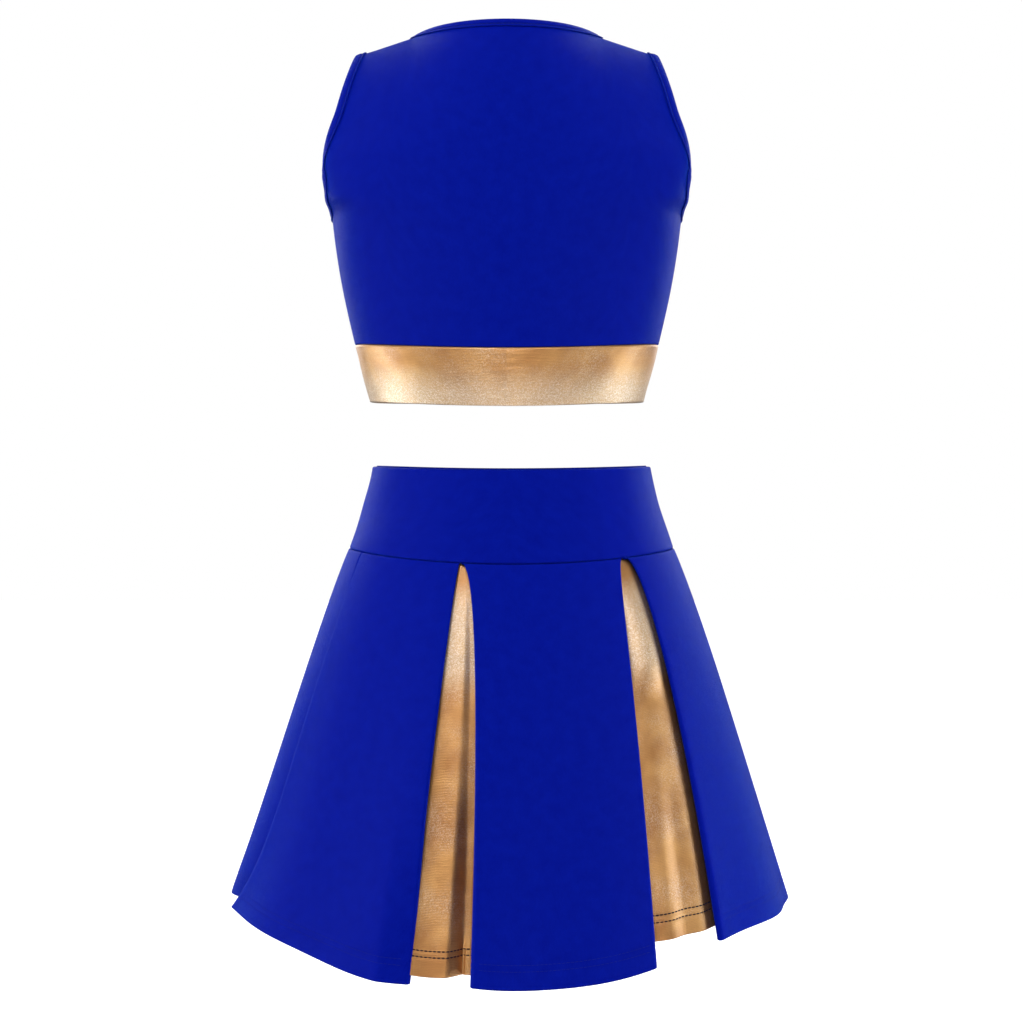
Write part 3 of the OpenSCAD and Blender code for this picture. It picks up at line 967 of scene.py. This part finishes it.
def top_half_d(side, z):
    return lerp(TOP_HALF_D_LOW, TOP_HALF_D[side], ramp(z, TOP_LOW_Z, UNDERARM_Z - TOP_LOW_Z))


def top_depth(side, s, z):
    """Depth of the body's smooth surface, before the armholes are cut out."""
    raised = smooth((z - UNDERARM_Z + PARTING_BELOW) / PARTING_RUN)
    edge_d = ARMHOLE_HALF_D * raised
    shut = edge_d * (1 - ramp(z, UNDERARM_Z, ARMHOLE_RUN))
    rounder = ramp(z, UNDERARM_Z, ROUNDER_RUN)
    crown = np.maximum(1 - s * s, 0) ** lerp(SQUARENESS, 1, rounder)
    return SIDE_GAP + lerp(edge_d, top_half_d(side, z), crown) - shut * abs(s) ** SHUT_POWER


def armhole_cut(side, z):
    """How far across the surface the armhole's edge lies at each height."""
    wanted = SIDE_GAP + ARMHOLE_HALF_D * armhole_opening(z)
    low, high = 0 * z + 0.5, 0 * z + 1
    for _ in range(SEARCH_STEPS):
        middle = (low + high) / 2
        outside = top_depth(side, middle, z) < wanted
        low, high = np.where(outside, low, middle), np.where(outside, middle, high)
    return high


def panel_half_w(z):
    """The binding makes up the outermost part of the armhole's upper half."""
    return top_half_w(z) - BINDING_SHARE * ARM_BINDING_W * ramp(z, CHEST_Z, BINDING_RUN)


def shoulder_z(s):
    """Height of the shoulder line, carried on smoothly over the neck."""
    x = abs(s) * SHOULDER_HALF_W
    slope = SHOULDER_RISE / (SHOULDER_HALF_W - NECK_HALF_W)
    strap = TIP_Z + slope * (SHOULDER_HALF_W - x)
    inside = 1 - (x / NECK_HALF_W) ** 2
    level = slope * NECK_HALF_W / 2
    neck = TIP_Z + SHOULDER_RISE + level * inside + (NECK_RISE - level) * inside ** 2
    return np.where(x > NECK_HALF_W, strap, neck)


def top_edge_z(side, s):
    x_f = np.clip(abs(s) * SHOULDER_HALF_W / NECK_HALF_W, 0, 1)
    across, down = NECKLINE_POWERS
    neckline = TIP_Z + SHOULDER_RISE - NECK_DROP[side] * (1 - x_f ** across) ** down
    return np.where(x_f >= 1, shoulder_z(s), neckline)


def edge_turn(side, s):
    edge_f = (top_edge_z(side, s) - CHEST_Z) / (shoulder_z(s) - CHEST_Z)
    turn = np.degrees(np.arcsin(np.minimum(1, np.clip(edge_f, 0, 1) ** (ROUND_POWER / 2))))
    return np.minimum(SHOULDER_END, turn)


def band_top_z(s):
    return TOP_LOW_Z + GOLD_BAND_H - BAND_DIP * (1 - s * s)


def top_point(side, s, z, rounding=1.0):
    x = panel_half_w(z) * s + TOP_SHIFT
    return points(x, side * top_depth(side, s, z) * rounding, z)


def shoulder_point(side, s, turn):
    z = lerp(CHEST_Z, shoulder_z(s), sin_d(turn) ** (2 / ROUND_POWER))
    return top_point(side, s, z, cos_d(turn) ** (2 / ROUND_POWER))


def top_surface(side):
    """The panel's surface, the row where its armholes end, and its columns."""
    s = -cos_d(np.linspace(0, 180, TOP_COLUMNS))
    s = side * -np.unique(np.append(s, [-NECK_S, NECK_S]))
    turn_f = 1 - np.linspace(0, 1, SHOULDER_ROWS)[:, None] ** SHOULDER_ROW_POWER
    shoulder = shoulder_point(side, s, edge_turn(side, s) * turn_f)
    z = lerp(CHEST_Z, UNDERARM_Z, np.sin(np.linspace(0, math.pi / 2, CHEST_ROWS)))[1:, None]
    chest = top_point(side, s * armhole_cut(side, z), z)
    length = UNDERARM_Z - TOP_LOW_Z - GOLD_BAND_H
    down = marks(length, GRID_STEP, (), EDGE_MARKS)[1:, None]
    body = top_point(side, s, lerp(UNDERARM_Z, band_top_z(s), down / length))
    return np.concatenate([shoulder, chest, body]), len(shoulder) + len(chest) - 1, s


def top_grid(side):
    grid = top_surface(side)[0]
    from_low = run_down(grid)[-1] - run_down(grid)
    from_side = run_across(grid)
    from_side = np.minimum(from_side, from_side[:, -1:] - from_side)
    below_arm = smooth((UNDERARM_Z - grid[..., 2]) / SIDE_SEAM_FADE)
    seam = rolled(from_low, SEAM_ROLL) + below_arm * rolled(from_side, SIDE_SEAM_ROLL)
    return grid - normals_of(grid, False) * seam[..., None]


def make_top_panels():
    for side, node in ((-1, "top_back_panel"), (1, "top_front_panel")):
        grid = top_grid(side)
        obj = cloth_mesh(node + "_cloth", grid, KNIT_T)
        finish_cloth(obj, "top", node, ROYAL)


def band_relief(angle, s, down):
    """How far the gold band's face lies in from its plain shape."""
    f = down / GOLD_BAND_H
    from_seam = np.radians((angle + 180) % 360 - 180) * TOP_HALF_D_LOW * BACK_ROUNDNESS
    seam = BAND_SEAM_D * bell(from_seam, BAND_SEAM_W)
    pucker = BAND_PUCKER_D * bell(from_seam, BAND_PUCKER_W)
    pucker = pucker * np.sin(2 * math.pi * down / BAND_PUCKER_PITCH)
    belly = BAND_BELLY * np.sin(np.radians(angle) * BAND_BELLIES + 3 * f) * np.sin(math.pi * f)
    curl = BAND_CURL * f ** BAND_CURL_POWER * (1 - s * s)
    return rolled(down, SEAM_ROLL) + seam + pucker - belly + curl


def make_gold_band():
    angle = np.arange(BAND_COLUMNS) * 360 / BAND_COLUMNS
    side = np.where(cos_d(angle) > 0, -1, 1)
    s = sin_d(angle)
    down = marks(GOLD_BAND_H, BAND_STEP, EDGE_MARKS)[:, None]
    low_lift = np.where(side < 0, BAND_LOW_LIFT[-1], BAND_LOW_LIFT[1])
    z = band_top_z(s) - down + low_lift * down / GOLD_BAND_H * (1 - s * s)
    half_d = np.where(side < 0, top_half_d(-1, z), top_half_d(1, z))
    depth = half_d * np.maximum(1 - s * s, 0) ** SQUARENESS
    grid = points(top_half_w(z) * s + TOP_SHIFT, side * depth, z)
    grid = grid - normals_of(grid, True) * band_relief(angle, s, down)[..., None]
    whole = with_hem(grid, True, BAND_HEM, fold_r=BAND_FOLD_R)
    obj = cloth_mesh("gold_band_cloth", whole, FOIL_T, closed=True)
    finish_cloth(
        obj, "top", "gold_band", FOIL,
    )


# ---- bindings ----

BINDING_STEP = 2.2 * MM
BINDING_T = 0.6 * MM
BINDING_FACE = 1.0 * MM
BINDING_BACK = -1.9 * MM
BINDING_BLURS = 6
BINDING_SEAM = 0.9 * MM
BINDING_STITCH_OUT = 0.75 * MM
BINDING_STITCH_R = 0.28 * MM
BINDING_STITCH_PITCH = 3.0 * MM
BINDING_STITCH_LENGTH = 2.3 * MM
BINDING_PUCKER_W = 1.4 * MM
BINDING_PUCKER = 0.10
BINDING_PUCKER_STEPS = 3.0
GROOVE_D = 0.55 * MM
GROOVE_W = 0.55 * MM
RIDGE_H = 0.35 * MM
RIDGE_W = 0.7 * MM
CROWN_H = 0.35 * MM
OPENING_REACH = 0.03


def binding_profile(width):
    """Outline of a folded binding: distances past the edge, and out from the
    cloth's face. It runs up the outside, over the fold and down the inside."""
    fold_r = (BINDING_FACE - BINDING_BACK) / 2
    up = np.concatenate([np.linspace(-1.6, 2.4, 12) * MM, np.linspace(3.0 * MM, width - fold_r, 6)])
    groove = -GROOVE_D * bell(up - BINDING_SEAM, GROOVE_W) + RIDGE_H * bell(up + RIDGE_W, RIDGE_W)
    crown = CROWN_H * bell(up - width / 2, width / 4)
    turns = np.linspace(0, 180, 9)[1:-1]
    past = np.concatenate([up, width - fold_r + fold_r * sin_d(turns), up[::-1]])
    out = np.concatenate([
        BINDING_FACE + groove + crown,
        (BINDING_FACE + BINDING_BACK) / 2 + fold_r * cos_d(turns),
        BINDING_BACK - 0.5 * groove[::-1],
    ])
    return past, out


def binding_path(pieces, towards):
    """Joins edges of panels to a closed path at even steps, with the cloth's
    outward direction and the direction past its edge at each place."""
    path = np.concatenate([piece[0] for piece in pieces])
    out = np.concatenate([piece[1] for piece in pieces])
    along = unit(np.roll(path, -1, axis=0) - np.roll(path, 1, axis=0))
    past = unit(np.cross(out, along))
    opening = path.mean(axis=0) + towards - path
    past = past * np.sign((opening * past).sum(axis=1, keepdims=True))
    places = along_path(path, BINDING_STEP, closed=True)
    path, past, out = (at_place(values, places) for values in (path, past, out))
    for _ in range(BINDING_BLURS):
        past, out = blurred(past), blurred(out)
    return path, past, out


def blurred(ring):
    return unit(ring + 0.5 * (np.roll(ring, 1, axis=0) + np.roll(ring, -1, axis=0)))


def make_binding(name, pieces, width, towards):
    path, past, out = binding_path(pieces, towards)
    past_by, out_by = binding_profile(width)
    stations = np.arange(len(path))
    near_seam = bell(past_by[:, None] - BINDING_SEAM, BINDING_PUCKER_W)
    wave = np.sin(2 * math.pi * stations / BINDING_PUCKER_STEPS)
    pucker = 1 + BINDING_PUCKER * wave * near_seam
    grid = path + past * past_by[:, None, None] + out * (out_by[:, None] * pucker)[..., None]
    if (normals_of(grid, True)[5] * out).sum() < 0:
        grid = grid[:, ::-1]
    obj = cloth_mesh(name + "_cloth", grid, BINDING_T, closed=True)
    finish_cloth(obj, "top", name, ROYAL)
    row = {
        "path": path + past * BINDING_SEAM + out * BINDING_STITCH_OUT,
        "out": out,
        "radius": BINDING_STITCH_R,
        "pitch": BINDING_STITCH_PITCH,
        "length": BINDING_STITCH_LENGTH,
        "closed": True,
    }
    stitching(name + "_stitches", [row], "top", BLUE_THREAD)


def make_bindings():
    neck, arms = [], {-1: [], 1: []}
    for side in (-1, 1):
        grid, underarm_row, s = top_surface(side)
        out = normals_of(grid, False)
        inside = abs(s) <= NECK_S + 1e-9
        neck.append((grid[0, inside][:-1], out[0, inside][:-1]))
        for hand in (-1, 1):
            column = 0 if s[0] * hand > 0 else -1
            edge = grid[:underarm_row, column], out[:underarm_row, column]
            arms[hand].append(tuple(values[::side] for values in edge))
    make_binding("neck_binding", neck, NECK_BINDING_W, np.array([0, 0, OPENING_REACH]))
    for hand, name in ((-1, "armhole_binding_left"), (1, "armhole_binding_right")):
        make_binding(name, arms[hand], ARM_BINDING_W, np.array([hand * OPENING_REACH, 0, 0]))


# ---- stage ----

VIEW_DISTANCE = 1.732
VIEW_ELEVATION = 1.5
VIEW_TARGET = Vector((0, 0, -0.0394))
IMAGE_WIDTH = 1023
VIEW_PIXELS = 2000  # the lens's focal length, in pixels of that image
COOL = (0.80, 0.92, 1.0)
LOW_LIGHT = 0.27
HIGH_LIGHT = 0.55
FLOOR_DROP = 0.35
FLOOR_HALF = 9


def make_camera():
    camera = bpy.data.cameras.new("camera")
    camera.sensor_width = 36
    camera.lens = camera.sensor_width * VIEW_PIXELS / IMAGE_WIDTH
    camera.clip_end = 50
    obj = bpy.data.objects.new("camera", camera)
    bpy.context.scene.collection.objects.link(obj)
    tilt = math.radians(VIEW_ELEVATION)
    obj.location = VIEW_TARGET + VIEW_DISTANCE * Vector((0, -math.cos(tilt), math.sin(tilt)))
    obj.rotation_euler = (math.radians(90) - tilt, 0, 0)
    bpy.context.scene.camera = obj


def make_light(name, place, size, power, colour=(1, 1, 1)):
    light = bpy.data.lights.new(name, "AREA")
    light.shape = "RECTANGLE"
    light.size, light.size_y = size
    light.energy = power
    light.color = colour
    obj = bpy.data.objects.new(name, light)
    bpy.context.scene.collection.objects.link(obj)
    obj.location = place
    obj.rotation_euler = (-Vector(place)).to_track_quat("-Z", "Y").to_euler()
    obj.visible_camera = False


def make_lights():
    make_light("side_left", (-1.9, -0.2, -0.5), (0.9, 1.6), 27, COOL)
    make_light("side_right", (1.9, -0.2, -0.5), (0.9, 1.6), 20, COOL)
    make_light("front_high", (-0.2, -1.9, 1.6), (1.6, 0.7), 29)
    make_light("front_low", (0, -1.5, -1.1), (1.6, 0.4), 20)
    make_light("back_left", (-1.2, 1.6, 0.8), (1.0, 1.6), 16)
    make_light("back_right", (1.2, 1.6, 0.8), (1.0, 1.6), 16)


def make_world():
    """White behind the object. The light it gives is dimmer towards the floor."""
    world = bpy.data.worlds.new("studio")
    bpy.context.scene.world = world
    world.use_nodes = True
    tree = world.node_tree
    tree.nodes.clear()
    output = tree.nodes.new("ShaderNodeOutputWorld")
    seen, lighting = tree.nodes.new("ShaderNodeBackground"), tree.nodes.new("ShaderNodeBackground")
    seen.inputs["Color"].default_value = (1, 1, 1, 1)
    lighting.inputs["Color"].default_value = (1, 1, 1, 1)
    direction, split = tree.nodes.new("ShaderNodeTexCoord"), tree.nodes.new("ShaderNodeSeparateXYZ")
    level = tree.nodes.new("ShaderNodeMapRange")
    ranges = (("From Min", -1), ("From Max", 1), ("To Min", LOW_LIGHT), ("To Max", HIGH_LIGHT))
    for name, value in ranges:
        level.inputs[name].default_value = value
    tree.links.new(direction.outputs["Generated"], split.inputs[0])
    tree.links.new(split.outputs["Z"], level.inputs["Value"])
    tree.links.new(level.outputs[0], lighting.inputs["Strength"])
    path, mix = tree.nodes.new("ShaderNodeLightPath"), tree.nodes.new("ShaderNodeMixShader")
    tree.links.new(path.outputs["Is Camera Ray"], mix.inputs[0])
    tree.links.new(lighting.outputs[0], mix.inputs[1])
    tree.links.new(seen.outputs[0], mix.inputs[2])
    tree.links.new(mix.outputs[0], output.inputs["Surface"])


def make_floor():
    """A plain pale floor below the hanging uniform."""
    z = CAD_BOX[0][2] - FLOOR_DROP
    corners = [(x * FLOOR_HALF, y * FLOOR_HALF, z) for x, y in ((-1, -1), (1, -1), (1, 1), (-1, 1))]
    mesh = bpy.data.meshes.new("floor")
    mesh.from_pydata(corners, [], [(0, 1, 2, 3)])
    obj = bpy.data.objects.new("floor", mesh)
    bpy.context.scene.collection.objects.link(obj)
    material = bpy.data.materials.new("pale_floor")
    material.use_nodes = True
    shader = material.node_tree.nodes["Principled BSDF"]
    shader.inputs["Base Color"].default_value = (0.9, 0.9, 0.9, 1)
    shader.inputs["Roughness"].default_value = 0.9
    shader.inputs["Emission Color"].default_value = (1, 1, 1, 1)
    shader.inputs["Emission Strength"].default_value = 0.7
    mesh.materials.append(material)
    obj.visible_diffuse = False
    obj.visible_glossy = False


bpy.context.scene.view_settings.view_transform = "Standard"
make_camera()
make_world()
make_lights()
make_floor()
make_waistband()
make_skirt_panels()
make_gold_inserts()
make_top_panels()
make_gold_band()
make_bindings()

bpy.context.view_layer.update()
